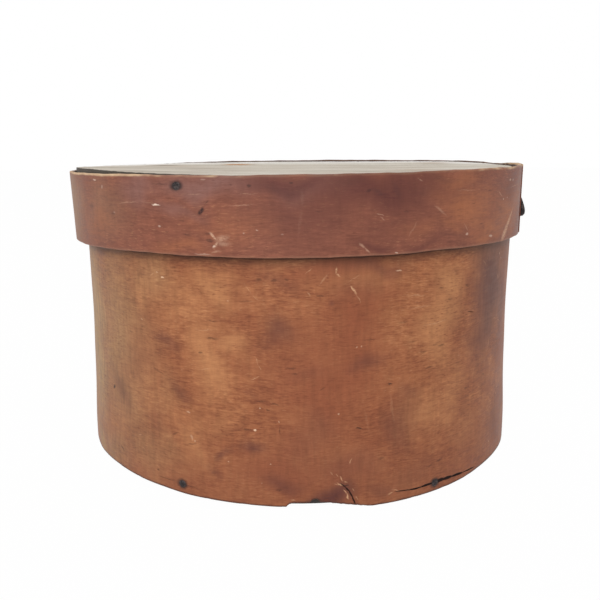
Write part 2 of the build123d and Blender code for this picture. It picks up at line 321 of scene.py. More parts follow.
def round_board(centre, radius, joint, back, low, high, edge, cup):
    """A board of a round lid or bottom, from its joint to the edge, made of sections side by side.

    Each section goes up the left edge, over the face to the right, down the right edge and back below. The
    sections shrink to a line at the far end of the board and stop flat at the joint."""
    sign = -1 if back else 1
    quarter = np.linspace(0, pi / 2, corner_points)
    wall_foot = np.linspace(low, high - edge, wall_points + 1)[:-1]
    wall_height = np.concatenate([wall_foot, high - edge * (1 - np.sin(quarter))])
    wall_inset = np.concatenate([np.zeros(wall_points), edge * (1 - np.cos(quarter))])
    rounded = wall_height > high - edge
    side = np.ones(wall_points + corner_points)
    share_across = np.concatenate([-side, np.linspace(-1, 1, across_points + 2)[1:-1], side])
    height = np.concatenate([wall_height, np.full(across_points, high), wall_height[::-1]])
    inset = np.concatenate([wall_inset, np.full(across_points, edge), wall_inset[::-1]])
    face = np.concatenate([rounded, np.full(across_points, True), rounded[::-1]]) * 1.0
    half = len(height)
    share_across = np.concatenate([share_across, np.linspace(1, -1, half)])
    height = np.concatenate([height, np.full(half, low)])
    inset = np.concatenate([inset, np.zeros(half)])
    face = np.concatenate([face, np.zeros(half)])
    reach = radius - inset
    last = np.arccos(np.clip(-sign * joint / reach, -1, 1))
    theta = board_sections[:, None] * last
    x = share_across * reach * np.sin(theta)
    y = -sign * reach * np.cos(theta)
    z = height + face * board_relief(x, y, joint, cup) + 0 * x
    points = np.stack([x + centre, y, z], axis=-1)
    loop = 2 * half
    count = len(board_sections)
    faces = np.concatenate([tube_faces(count, loop), paired_end(loop, loop * (count - 1))[:, ::-1]])
    return points.reshape(-1, 3), faces


def nail_head(radius, thickness, crown, seed):
    """A hammered round head along X, seat at 0: rings of a crowned profile, each a little out of round."""
    ring = np.array([0, 0.3, 0.55, 0.78, 0.93, 1, 1, 0.55, 0])[:, None]
    top = np.array([1, 0.95, 0.8, 0.5, 0.2, 0, 0, 0, 0])[:, None]
    wall = np.array([1, 1, 1, 1, 0.95, 0.75, 0, 0, 0])[:, None]
    turn = np.linspace(0, 2 * pi, head_points + 1)[:-1]
    out_of_round = 1 + 0.05 * np.sin(3 * turn + seed) + 0.04 * np.sin(5 * turn + 2.3 * seed)
    facets = 0.1 * crown * np.sin(2 * turn + 1.7 * seed) * ring
    reach = ring * radius * out_of_round
    x = thickness * wall + crown * top + facets * (top > 0)
    points = np.stack([x + 0 * turn, reach * np.cos(turn), reach * np.sin(turn)], axis=-1)
    return points.reshape(-1, 3), tube_faces(len(ring), len(turn))


def forged_rod(path, widths, thin):
    """A squarish rod along a path in the XZ plane, with a width at each point, closed at both ends."""
    path, widths = np.asarray(path, float), np.asarray(widths, float)
    along = np.gradient(path, axis=0)
    along /= np.linalg.norm(along, axis=1)[:, None]
    path = np.vstack([path[:1], path, path[-1:]])
    along = np.vstack([along[:1], along, along[-1:]])
    widths = np.concatenate([[0], widths, [0]])[:, None] / 2
    turn = np.linspace(0, 2 * pi, rod_points + 1)[:-1]
    side = np.sign(np.cos(turn)) * np.abs(np.cos(turn)) ** 0.6
    edge = np.sign(np.sin(turn)) * np.abs(np.sin(turn)) ** 0.6
    x = path[:, :1] - along[:, 1:] * widths * side
    z = path[:, 1:] + along[:, :1] * widths * side
    points = np.stack([x, widths * edge * thin, z], axis=-1)
    return points.reshape(-1, 3), tube_faces(len(path), len(turn))


def joined(shapes):
    """Several shapes as one."""
    points, faces, count = [], [], 0
    for some_points, some_faces in shapes:
        points.append(some_points)
        faces.append(some_faces + count)
        count += len(some_points)
    return np.concatenate(points), np.concatenate(faces)


def set_on_wall(shape, azimuth, height, reach):
    """A shape lying along X, put on a wall with its X axis pointing straight out."""
    points, faces = shape
    angle = radians(azimuth)
    x, y, z = points[:, 0] + reach, points[:, 1], points[:, 2] + height
    return np.stack([x * sin(angle) + y * cos(angle), -x * cos(angle) + y * sin(angle), z], axis=-1), faces


def wall_reach(azimuth, height, radius, plan):
    """Distance from the middle to the outer face at a place."""
    return float(radius * plan(radians(azimuth), height))


def driven(rod, head_size, seed, spots, radius, plan, sunk):
    """A nail at each of several places on a wall: the same rod, and a head out of round in its own way."""
    shapes = []
    for count, (azimuth, height) in enumerate(spots):
        reach = wall_reach(azimuth, height, radius, plan) - sunk
        nail = joined([nail_head(*head_size, count + seed), rod])
        shapes.append(set_on_wall(nail, azimuth, height, reach))
    return joined(shapes)


def cut_nails(spots, radius, plan):
    """Nails driven in at several places, heads nearly flush and points inside the board."""
    depths = np.linspace(0, -nail_length, 7)
    rod = forged_rod(np.stack([depths, 0 * depths], axis=-1), np.linspace(2, 0.9, 7), 1)
    return driven(rod, nail_head_size, 0, spots, radius, plan, nail_sunk)


def lap_tacks(spots, radius, thickness, plan):
    """Tacks through a lap, their points turned down on the inner face."""
    wall = thickness + lap_step
    inner_end = [(-wall, -0.1), (-wall - 0.3, -0.6), (-wall - 0.42, -2), (-wall - 0.4, -3.9)]
    rod = forged_rod([(0.2, 0), (-wall * 0.6, 0)] + inner_end, (1.3, 1.2, 1.1, 1, 0.9, 0.3), 1)
    return driven(rod, tack_head_size, 0.5, spots, radius + lap_step, plan, tack_sunk)


def bent_nail():
    """A thin nail from inside the lid band, out through its lap and turned up along it."""
    wall = lid_thickness + lap_step
    path = [
        (-0.3, 0), (wall * 0.6, 0), (wall + 0.8, 0), (wall + 1.6, 0.3), (wall + 2.1, 1.1),
        (wall + 2.2, 2.4), (wall + 2.1, 4), (wall + 1.8, 6), (wall + 1.4, 8.1), (wall + 1, 10.2),
        (wall + 0.75, 11.4),
    ]
    rod = forged_rod(path, (1.5, 1.7, 2.2, 2.8, 3.1, 3.1, 2.9, 2.4, 1.8, 1.2, 0.6), 0.8)
    head, head_faces = nail_head(*bent_head_size, 7)
    inner_head = (head * (-1, 1, 1) - (0.3, 0, 0), head_faces[:, ::-1])
    place = (bent_nail_azimuth, bent_nail_height)
    reach = wall_reach(*place, lid_radius - lid_thickness, lid_plan) - bent_nail_sunk
    return set_on_wall(joined([rod, inner_head]), *place, reach)


def piece(name, shape, finish, body, node, marks=()):
    """A mesh of a shape in mm, which rides on a body in place of a node. Its faces are turned outwards."""
    points, faces = shape
    corners = points[faces]
    spread = np.cross(corners[:, 1] - corners[:, 0], corners[:, 2] - corners[:, 0])
    spread += np.cross(corners[:, 2] - corners[:, 0], corners[:, 3] - corners[:, 0])
    if np.einsum("ij,ij->", corners.mean(axis=1), spread) < 0:
        faces = faces[:, ::-1]
    mesh = bpy.data.meshes.new(name)
    mesh.from_pydata((points * mm).tolist(), [], faces.tolist())
    for label, values in marks:
        mesh.attributes.new(label, "FLOAT_VECTOR", "POINT").data.foreach_set("vector", values.ravel())
    work = bmesh.new()
    work.from_mesh(mesh)
    bmesh.ops.remove_doubles(work, verts=work.verts, dist=weld_distance)
    work.to_mesh(mesh)
    work.free()
    mesh.polygons.foreach_set("use_smooth", np.ones(len(mesh.polygons), bool))
    mesh.set_sharp_from_angle(angle=sharp_angle)
    mesh.materials.append(finish)
    thing = bpy.data.objects.new(name, mesh)
    bpy.context.scene.collection.objects.link(thing)
    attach(thing, body)
    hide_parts(node)


# Finishes


class Wire:
    """One output among a finish's nodes. Python's operators on it add Math nodes."""

    def __init__(self, finish, socket):
        self.finish = finish
        self.socket = socket

    def __add__(self, other):
        return self.finish.maths("ADD", self, other)

    def __radd__(self, other):
        return self.finish.maths("ADD", other, self)

    def __sub__(self, other):
        return self.finish.maths("SUBTRACT", self, other)

    def __rsub__(self, other):
        return self.finish.maths("SUBTRACT", other, self)

    def __mul__(self, other):
        return self.finish.maths("MULTIPLY", self, other)

    def __rmul__(self, other):
        return self.finish.maths("MULTIPLY", other, self)


class Finish:
    """The nodes of a material, or of the world. Places are in mm, and colours are linear."""

    def __init__(self, owner):
        self.owner = owner
        self.owner.use_nodes = True
        self.tree = self.owner.node_tree
        self.tree.nodes.clear()

    def node(self, kind, settings=None, inputs=None, output=0):
        """Adds a node, sets it up, fills its sockets with values or wires, and gives one of its outputs."""
        made = self.tree.nodes.new(kind)
        for key, value in (settings or {}).items():
            if key == "stops":
                ramp = made.color_ramp
                while len(ramp.elements) < len(value):
                    ramp.elements.new(0.5)
                for element, (position, colour) in zip(ramp.elements, value):
                    element.position = position
                    element.color = (*colour, 1)
            else:
                setattr(made, key, value)
        for key, value in (inputs or {}).items():
            if isinstance(value, Wire):
                self.tree.links.new(value.socket, made.inputs[key])
            else:
                made.inputs[key].default_value = value
        return Wire(self, made.outputs[output]) if made.outputs else None

    def maths(self, operation, first, second):
        """Two numbers put together by a Math node's operation."""
        return self.node("ShaderNodeMath", {"operation": operation}, {0: first, 1: second})

    def vector_maths(self, operation, first, second):
        """Two vectors put together by a Vector Math node's operation."""
        return self.node("ShaderNodeVectorMath", {"operation": operation}, {0: first, 1: second})

    def larger(self, first, second):
        """The larger of two numbers."""
        return self.maths("MAXIMUM", first, second)

    def attribute(self, name):
        """The three numbers that each point of a mesh carries under a name."""
        return self.split(self.node("ShaderNodeAttribute", {"attribute_name": name}, output="Vector"))

    def object_place(self):
        """Place on the object, in mm."""
        place = self.node("ShaderNodeTexCoord", output="Object")
        return self.node("ShaderNodeMapping", {}, {"Vector": place, "Scale": (1000, 1000, 1000)})

    def split(self, vector):
        """The three numbers of a vector."""
        made = self.node("ShaderNodeSeparateXYZ", {}, {0: vector}).socket.node
        return [Wire(self, output) for output in made.outputs]

    def vector(self, x, y, z):
        """Three numbers as one vector."""
        return self.node("ShaderNodeCombineXYZ", {}, {0: x, 1: y, 2: z})

    def flat(self, place):
        """place without its height."""
        return self.vector(*self.split(place)[:2], 0)

    def length(self, vector):
        """The length of a vector."""
        return self.node("ShaderNodeVectorMath", {"operation": "LENGTH"}, {0: vector}, "Value")

    def shifted(self, place, amounts):
        """place moved by a vector."""
        return self.vector_maths("ADD", place, amounts)

    def noise(self, place, size, detail=2, roughness=0.5, output=0):
        """Cloudy noise whose patches are about as large as size, a length, height and depth."""
        scale = tuple(1 / length for length in size)
        scaled = self.node("ShaderNodeMapping", {}, {"Vector": place, "Scale": scale})
        values = {"Vector": scaled, "Scale": 1, "Detail": detail, "Roughness": roughness}
        return self.node("ShaderNodeTexNoise", {}, values, output)

    def wandering(self, place, size, reach):
        """place moved a little this way and that, so that outlines on it are uneven."""
        colour = self.noise(place, (size, size, size), output="Color")
        centred = self.vector_maths("SUBTRACT", colour, (0.5, 0.5, 0.5))
        return self.shifted(place, self.vector_maths("MULTIPLY", centred, (reach, reach, 0)))

    def between(self, value, low, high, first=0, last=1):
        """Eases from first to last as value goes from low to high."""
        values = {"Value": value, "From Min": low, "From Max": high, "To Min": first, "To Max": last}
        return self.node("ShaderNodeMapRange", {"interpolation_type": "SMOOTHSTEP"}, values)

    def ramp(self, value, *stops):
        """A colour that runs through (position, colour) stops."""
        return self.node("ShaderNodeValToRGB", {"stops": stops}, {0: value})

    def painted(self, colour, *layers):
        """colour with paints laid over it in turn, each (mask, paint), which shows where its mask is 1."""
        for mask, paint in layers:
            pair = [tone if isinstance(tone, Wire) else (*tone, 1) for tone in (colour, paint)]
            colour = self.node("ShaderNodeMix", {"data_type": "RGBA"}, {0: mask, 6: pair[0], 7: pair[1]}, 2)
        return colour

    def shaded(self, colour, factor):
        """colour made darker or lighter by a factor."""
        settings = {"data_type": "RGBA", "blend_type": "MULTIPLY"}
        return self.node("ShaderNodeMix", settings, {0: 1, 6: colour, 7: factor}, 2)

    def spot(self, place, middle, size, tilt, hardness):
        """1 inside an oval patch, fading to 0 at its edge. The third number of place counts for nothing."""
        values = {
            "Vector": place,
            "Location": (*middle, 0),
            "Rotation": (0, 0, radians(tilt)),
            "Scale": (size[0] / 2, size[1] / 2, 1e6),
        }
        centred = self.node("ShaderNodeMapping", {"vector_type": "TEXTURE"}, values)
        return self.between(self.length(centred), hardness, 1, 1, 0)

    def spots(self, place, table, hardness):
        """The strongest of many spots, each (along, up, length, height, tilt, strength).

        The total so far is the third number of the next spot's place, where it counts for nothing. So the
        spots are worked out one after another, which keeps the renderer's memory small."""
        flat_place = self.split(place)[:2]
        total = 0.0
        for along, up, length, height, tilt, strength in table:
            here = self.vector(*flat_place, total)
            mask = self.spot(here, (along, up), (length, height), tilt, hardness) * strength
            total = self.larger(total, mask)
        return total

    def strokes(self, place, table, hardness):
        """The strongest of many straight strokes, each (along, up, along, up, width, strength)."""
        spots = []
        for along, up, far_along, far_up, width, strength in table:
            length = hypot(far_along - along, far_up - up) + width
            tilt = degrees(atan2(far_up - up, far_along - along))
            spots.append(((along + far_along) / 2, (up + far_up) / 2, length, width, tilt, strength))
        return self.spots(place, spots, hardness)

    def directly_seen(self):
        """1 for what the camera sees, also in a reflection or through glass."""
        kinds = ("Is Camera Ray", "Is Glossy Ray", "Is Transmission Ray")
        camera_ray, glossy_ray, passed_ray = [self.node("ShaderNodeLightPath", output=kind) for kind in kinds]
        return self.larger(self.larger(camera_ray, glossy_ray), passed_ray)

    def joined_to(self, kind, shader):
        """Joins a shader to the output, and gives the material or the world."""
        self.node(kind, {}, {"Surface": shader})
        return self.owner

    def surface(self, colour, roughness, height, **constants):
        """Joins colour, roughness and relief, a height in mm, to the shader."""
        bump = self.node("ShaderNodeBump", {}, {"Height": height, "Distance": mm, "Strength": 1})
        values = {"Base Color": colour, "Roughness": roughness, "Normal": bump}
        values.update({key.replace("_", " "): value for key, value in constants.items()})
        return self.joined_to("ShaderNodeOutputMaterial", self.node("ShaderNodeBsdfPrincipled", {}, values))


# Marks on the body's wall, in mm from the front along it and up it from marks_low
marks_low = 2.4
# Patches of another colour: golden, red, purple-brown
golden_patches = [
    (-52, 82, 36, 70, 0, 0.78), (-37, 95, 26, 20, 0, 0.75), (-96, 120, 18, 34, 0, 0.5),
    (-70, 116, 62, 44, 0, 0.36), (88, 100, 44, 88, 0, 0.75), (92, 122, 42, 40, 0, 0.9),
    (-62, 34, 34, 56, 0, 0.6), (78, 50, 50, 50, 0, 0.4), (-50, 126, 44, 40, 0, 0.7),
    (98, 60, 34, 70, 0, 0.35), (112, 34, 40, 50, 0, 0.25), (30, 130, 90, 20, 0, 0.25),
    (-58, 29, 20, 40, 8, 0.85), (-48, 47, 40, 30, 0, 0.35), (-70, 44, 20, 20, 0, 0.3),
]
# The red patch at 22 along and 134 up lies just below the lid's edge and is partly the lid's painted shadow
red_patches = [
    (18, 74, 120, 160, 0, 0.72), (-8, 20, 90, 44, 0, 0.7), (22, 134, 80, 26, 0, 1),
    (30, 104, 70, 70, 0, 0.75), (28, 20, 70, 30, 0, 0.6), (30, 40, 70, 90, 0, 0.35),
    (-30, 110, 60, 40, 0, 0.2), (0, 44, 56, 64, 0, 0.55), (-110, 76, 50, 60, 0, 0.35),
    (172, 90, 50, 170, 0, 0.6), (44, 120, 40, 60, 0, 0.6),
]
purple_patches = [
    (140, 116, 76, 106, -4, 1.15), (136, 98, 54, 84, -8, 0.9), (128, 74, 40, 60, 0, 0.4),
    (160, 110, 46, 120, 0, 0.65), (154, 24, 50, 40, 0, 0.5), (28, 22, 56, 34, 0, 0.4),
    (-10, 130, 40, 16, 0, 0.3), (-140, 139, 40, 10, 0, 0.5), (46, 8, 24, 16, 0, 0.5),
    (20, 6.5, 32, 20, 18, 1), (25, 6, 24, 24, 0, 1), (29, 5, 18, 18, 0, 1), (23, 11, 18, 12, 0, 0.9),
    (62, 44, 40, 60, 0, 0.35), (50, 6, 26, 14, 0, 0.6), (40, 136, 70, 16, 0, 0.5), (2, 38, 46, 50, 0, 0.2),
    (122, 112, 30, 60, 0, 0.35), (-126, 52, 40, 44, 0, 0.55), (64, 14, 40, 22, 0, 0.35),
    (34, 124, 40, 26, 0, 0.25),
]
# Soft dark stains
stains = [
    (-14, 100, 32, 26, 0, 0.62), (-12, 98, 14, 11, 0, 0.55), (-82, 93, 32, 16, -8, 0.5),
    (-74, 63.5, 28, 15, -20, 0.4), (-27, 33.5, 24, 11, 8, 0.75), (-41, 29, 17, 8, 10, 0.6),
    (-6, 13, 34, 17, 0, 0.6), (36, 83, 38, 12, 0, 0.5), (20, 7, 30, 17, 18, 0.9), (9, 3.8, 10, 6, 0, 0.8),
    (-51, 20, 18, 10, 0, 0.45), (20, 118.5, 6, 4, 0, 0.5), (-86, 40, 30, 24, 0, 0.22),
    (10, 48, 40, 30, 0, 0.18), (64, 62, 26, 14, 0, 0.3), (58, 38, 30, 30, 0, 0.25), (5, 76, 24, 16, 0, 0.2),
    (-30, 66, 20, 10, 0, 0.2),
]
# Paler, greener wood at the left, partly a painted sheen of the light falling from the left
olive_sheen_patches = [
    (-128, 80, 110, 230, 0, 0.6), (-96, 130, 60, 60, 0, 0.4), (-85, 60, 40, 60, 0, 0.2),
    (-172, 80, 100, 260, 0, 1), (-104, 22, 90, 60, 0, 0.45), (-84, 24, 40, 40, 0, 0.35),
    (-138, 10, 90, 60, 0, 0.6), (-162, 6, 60, 50, 0, 0.85),
]
# Short dark flecks and holes
flecks = [
    (-137, 51.5, 6, 3.4, 40, 0.9), (-127, 13.5, 7, 2, -35, 0.6), (-91, 10.5, 3, 2, 0, 0.6),
    (-50, 106, 8, 1.6, 0, 0.5), (-50, 96, 10, 2, 0, 0.55), (-58, 87.5, 4, 1.6, 0, 0.6),
    (-22, 130.5, 5, 1.8, 0, 0.5), (-14, 130, 5, 2.2, 0, 0.5), (-7, 130.5, 4, 1.6, 0, 0.45),
    (11, 121.5, 5, 2, 0, 0.5), (-22, 62, 9, 1.4, 6, 0.5), (-14, 60.5, 8, 1.3, -8, 0.5),
    (-18, 57, 4, 1.5, -20, 0.55), (-11.5, 45, 1.4, 6, 0, 0.5), (-5, 81.5, 8, 1.5, 0, 0.45),
    (-3, 78, 5, 1.5, 0, 0.45), (52, 69, 4.4, 1.5, 0, 0.85), (33.5, 45.5, 6, 1.4, -12, 0.85),
    (-12, 10.5, 5, 2, 0, 0.5), (47, 26, 5, 1.8, 0, 0.4), (88, 87, 8, 1.8, 0, 0.5), (83, 88, 5, 1.6, 0, 0.45),
    (75, 85, 7, 1.6, 0, 0.45), (94, 113.5, 6, 2, 0, 0.45), (79, 75, 9, 1.5, 5, 0.5), (112, 56, 5, 2, 0, 0.4),
    (133, 60, 4, 2, 0, 0.4), (109, 119.5, 6, 2.2, 0, 0.5), (86, 121, 6, 1.5, 0, 0.4),
    (80, 15, 6, 1.5, 14, 0.55), (88, 16.5, 6, 1.4, 14, 0.5), (26, 11.7, 4, 1.5, 0, 0.85),
    (-77, 36, 8, 1.6, 30, 0.4), (9, 4, 7, 2.4, 0, 0.95), (12.5, 69.5, 5, 1.4, 30, 0.45),
    (-30, 45, 8, 1.6, -5, 0.5), (-65, 32, 9, 1.5, 12, 0.45), (-88, 72, 14, 2, -18, 0.35),
    (-100, 97, 5, 1.6, 0, 0.4), (-112, 92, 5, 1.4, 0, 0.35), (-30, 118, 12, 1.5, 2, 0.3),
    (40, 96, 12, 1.4, 0, 0.3), (60, 104, 9, 1.4, 0, 0.35), (66, 92, 10, 1.4, 0, 0.35),
]
# Dark splits in the wood: from the nail at the right both ways, and by the broken place
splits = [
    (55, 4.1, 67, 3, 0.8, 0.9), (64, 3, 76, 2.9, 1.2, 1), (73, 2.9, 84, 3.4, 1.8, 1),
    (84, 3.3, 93, 3.3, 2.8, 1), (90, 3.4, 100, 2.8, 2.5, 1), (97, 2.9, 111, 2.2, 1.9, 1),
    (108, 2.3, 124, 1.4, 1.2, 0.9), (22.4, 13.6, 26.2, 10.4, 0.9, 0.8), (25.4, 11, 28.2, 8, 1.1, 0.9),
    (27.6, 8.6, 30.2, 4.2, 1.1, 0.9), (29.6, 5, 31.6, 0, 1.2, 0.9), (110, 104, 118, 102, 0.8, 0.5),
    (-92, 6.5, -76, 6.2, 0.7, 0.35), (-70, 6, -60, 5.4, 0.6, 0.3),
]
# Pale scratches and rubbed lines
scratches = [
    (27.5, 127, 31.5, 121.5, 1.5, 0.85), (31, 122, 34, 116.5, 1, 0.35), (20, 137, 20, 133, 1.3, 0.7),
    (20, 133.2, 22, 131.5, 1.1, 0.6), (3, 133, 7, 137, 0.8, 0.55), (10, 127, 16, 134, 1.6, 0.3),
    (26, 128.5, 34, 133, 0.8, 0.3), (4, 124.5, 6, 121, 0.8, 0.4), (-25, 88, -23, 82, 0.6, 0.4),
    (-23, 83, -21, 80, 0.6, 0.4), (-28, 73.5, -22, 76, 0.7, 0.6), (29, 28.5, 28, 24.5, 0.9, 0.5),
    (-148, 106, -147, 86, 2.4, 0.4), (-164, 124, -163, 74, 4, 0.25), (-172, 64, -171, 20, 4, 0.3),
    (-157, 50, -156.5, 12, 2.4, 0.2), (-110, 28, -104, 29, 0.7, 0.4), (-106, 20.5, -102, 21, 0.7, 0.35),
    (147, 93, 154, 91, 0.9, 0.4), (154, 91, 165, 87, 0.9, 0.3), (142, 84, 138, 73, 0.9, 0.4),
    (150, 121, 153, 117, 1, 0.45), (52, 66, 55, 45, 2.6, 0.12), (36, 58, 40, 40, 2, 0.08),
    (-62, 100, -48, 101, 1, 0.3), (-60, 77, -50, 79, 1, 0.3), (17, 21, 19, 18, 0.8, 0.3),
    (20.4, 19.4, 21.4, 17.6, 0.9, 0.5), (22.6, 17.6, 23.8, 15.4, 1.2, 0.7), (19, 13.6, 22, 12.6, 0.9, 0.4),
    (20.6, 14.4, 24, 12, 1.1, 0.7), (24.6, 15.4, 26.4, 13.6, 0.9, 0.5), (24.6, 9.6, 26.4, 7.4, 1.2, 0.7),
    (26.4, 7.4, 27.6, 3.4, 1.5, 0.85), (29.8, 10, 30.6, 8, 1, 0.4), (32, 5, 33, 2.4, 1, 0.5),
    (51, 3, 54.6, 4.2, 1.4, 0.6), (53, 6, 59, 4.2, 1, 0.5), (60, 119, 76, 118, 1.4, 0.3),
    (62, 111, 80, 112, 1.3, 0.3), (70, 100, 96, 102, 1.3, 0.3), (-3, 4, -5.5, 4.4, 1.2, 0.5),
    (125, 133, 131, 128, 0.8, 0.3), (-92, 128, -88, 131, 1, 0.35), (-30, 128, -26, 122, 1, 0.3),
    (-26, 122, -22, 119, 1, 0.3),
]
# Small bright specks
specks = [
    (-25.5, 45, 2.4, 1.7, -20, 1), (-82, 128, 2.4, 1.4, 0, 0.9), (-86, 130.5, 1.6, 1, 0, 0.39),
    (-101.5, 101.5, 1.6, 1.2, 0, 0.39), (-67, 51, 4, 1.3, 0, 0.36), (-65, 36, 2, 5, 20, 0.26),
    (-62.5, 34, 1.6, 1.4, 0, 0.39), (-41.5, 25.5, 1.5, 1.1, 0, 0.45), (-17, 25.5, 1.5, 1.1, 0, 0.39),
    (-22.5, 58, 1.8, 1.5, 0, 0.49), (-12, 50.5, 0.9, 1.6, 0, 0.39), (21.5, 54.5, 1.4, 1.9, 0, 0.39),
    (32, 92, 1.3, 1, 0, 0.33), (34.5, 92.5, 1.2, 1.3, 0, 0.33), (56, 133.5, 4.4, 1.3, 5, 0.49),
    (143, 11.5, 1.4, 1.8, 0, 0.39), (160, 44, 1.6, 1.6, 0, 0.33), (157, 40, 1.4, 1.6, 0, 0.26),
    (152, 133.5, 1.6, 2, 0, 0.33), (156, 130.5, 1.6, 2, 0, 0.33), (145, 67, 1.4, 1.4, 0, 0.33),
    (-40, 118, 1.4, 0.8, 0, 0.26), (-22, 14, 1, 0.8, 0, 0.26), (104, 78, 1.4, 0.8, 0, 0.2),
]


def bent_wood(finish, place, liveliness, colours):
    """The bare run of a stained bent strip: clouds of tone, short grain lines along it, dark and pale dashes.

    Gives its colour, the fibres, the streaks, the dark dashes and the upright smears."""
    drift = (finish.noise(place, (70, 40, 1), 1) - 0.5) * 8
    grain = finish.shifted(place, finish.vector(0, drift, 0))
    cloud = finish.noise(place, (40, 30, 1), 4, 0.68)
    streaks = finish.noise(grain, (13, 2.4, 1), 3, 0.62)
    fibres = finish.noise(grain, (4.2, 0.95, 1), 2, 0.6)
    smears = finish.noise(finish.wandering(place, 30, 6), (3, 20, 1), 3, 0.62)
    lively = finish.between(finish.noise(place, (26, 18, 1), 2), 0.35, 0.65, 0.35 * liveliness, liveliness)
    cloudy = 0.5 + (cloud - 0.5) * (1.5 * liveliness - 0.5)
    tone = cloudy + (streaks - 0.5) * 0.55 + (fibres - 0.5) * lively * 0.7
    colour = finish.shaded(finish.ramp(tone, *colours), 1 + (fibres - 0.5) * lively * 0.45)
    clumps = finish.between(cloud, 0.36, 0.6)
    dark = finish.between(finish.noise(finish.shifted(grain, (31, 7, 0)), (4, 0.75, 1), 1), 0.57, 0.72)
    pale = finish.between(finish.noise(finish.shifted(grain, (-57, 13, 0)), (3.4, 0.6, 1), 1), 0.58, 0.74)
    dashes = dark * (1.15 - clumps)
    colour = finish.painted(colour, (pale * clumps * (0.38 * liveliness), (0.62, 0.31, 0.15)))
    return colour, fibres, streaks, dashes, smears


def worn_pale(finish, place, near, scratches):
    """Scratches broken up by fine noise. Gives that noise too."""
    broken = finish.between(finish.noise(place, (1.5, 0.8, 1), 1), 0.3, 0.52)
    return finish.strokes(near, scratches, 0.15) * (0.35 + 0.8 * broken), broken


def nail_rings(nails, radius, low, length, height, strength):
    """Spots round nails, which are given by azimuth and height."""
    turns = [(radius * radians(azimuth - 360 * (azimuth > 180)), up - low) for azimuth, up in nails]
    return [(along, up, length, height, 0, strength) for along, up in turns]


def body_wood():
    """Red-brown stained wood, rubbed golden in places, with the marks of long use, a painted shadow below the
    lid's edge and a painted sheen at the left.
    """
    finish = Finish(bpy.data.materials.new("body_wood_worn"))
    along, up, depth = finish.attribute("strip_mm")
    golden, red, purple = finish.attribute("patches")
    stained, olive = finish.attribute("stains")[:2]
    to_low, below_lid = finish.attribute("edges_mm")[1:]
    place = finish.vector(along, up - marks_low, 0)
    colour, fibres, streaks, dashes, smears = bent_wood(finish, place, 1, (
        (0.22, (0.195, 0.060, 0.028)), (0.42, (0.285, 0.096, 0.042)),
        (0.6, (0.365, 0.136, 0.058)), (0.82, (0.465, 0.198, 0.086)),
    ))
    near = finish.wandering(place, 3, 2.2)
    grainy = 0.15 + 0.9 * streaks + 0.8 * fibres
    colour = finish.painted(
        colour,
        (olive * grainy, (0.385, 0.228, 0.108)),
        (red * grainy, (0.265, 0.078, 0.037)),
        (golden * grainy, (0.50, 0.222, 0.094)),
        (purple * grainy, (0.150, 0.057, 0.038)),
        # Darker towards the foot, fading out 62 mm up, less so on the olive wood
        (finish.between(up, 2, 62, 0.5, 0) * (1 - olive * 0.9), (0.25, 0.082, 0.042)),
        (stained, (0.105, 0.034, 0.028)),
    )
    smeared = (smears - 0.5) * (0.45 + olive * 0.65 + purple * 0.3)
    colour = finish.shaded(colour, 0.97 + smeared + (streaks - 0.5) * (0.1 + olive * 0.4))
    pale, broken = worn_pale(finish, place, near, scratches)
    split = finish.strokes(finish.wandering(place, 9, 1.2), splits, 0.55)
    # Dark rings round the nails, a painted shadow with some grime below the lid's edge, and grime at the foot
    rings = nail_rings(bottom_nails, base_radius, marks_low, 10, 8.4, 0.95)
    # Below the lid's edge a dark line and a softer band are painted: the lid's painted shadow, with some
    # grime in it
    below = below_lid + (streaks - 0.5) * 1.6
    line = finish.between(below, 1.3, 2.4, 0.8, 0)
    shadow_and_grime = finish.larger(line, finish.between(below, 1, 9, 0.48, 0)) * finish.between(below, -6, 0, 0.35, 1)
    foot = finish.between(to_low + (streaks - 0.5) * 1.2, 0.3, 1.7, 0.85, 0)
    lap_line = [(base_radius * radians(body_lap_azimuth), 86, 2.6, 200, 0, 0.75)]
    # The inner face is bare wood, and the edges are dirty
    inside = finish.between(depth, 0.6, 0.9)
    bare = finish.ramp(
        streaks + (fibres - 0.5) * 0.5,
        (0.25, (0.20, 0.115, 0.06)), (0.5, (0.33, 0.205, 0.115)), (0.75, (0.42, 0.28, 0.17)),
    )
    edge = finish.between(depth, 0.02, 0.2) * finish.between(depth, 0.98, 0.8)
    colour = finish.painted(
        colour,
        (dashes * 0.65, (0.18, 0.050, 0.025)),
        (finish.spots(near, flecks, 0.3) * (0.5 + 0.5 * broken), (0.045, 0.018, 0.012)),
        (split, (0.014, 0.006, 0.005)),
        (pale, (0.62, 0.345, 0.19)),
        (finish.spots(near, specks, 0.35), (0.76, 0.52, 0.35)),
        (finish.spots(near, rings, 0.35), (0.020, 0.014, 0.014)),
        (shadow_and_grime, (0.055, 0.022, 0.015)),
        (foot, (0.075, 0.032, 0.022)),
        (finish.spots(place, lap_line, 0.1), (0.05, 0.022, 0.015)),
        (inside, bare),
        (edge * 0.6, (0.12, 0.06, 0.035)),
    )
    roughness = 0.5 + (streaks - 0.5) * 0.25 + pale * 0.15 + inside * 0.2 + split * 0.5
    height = fibres * 0.05 + streaks * 0.05 - split * 0.5
    return finish.surface(colour, roughness, height, Specular_IOR_Level=0.19)


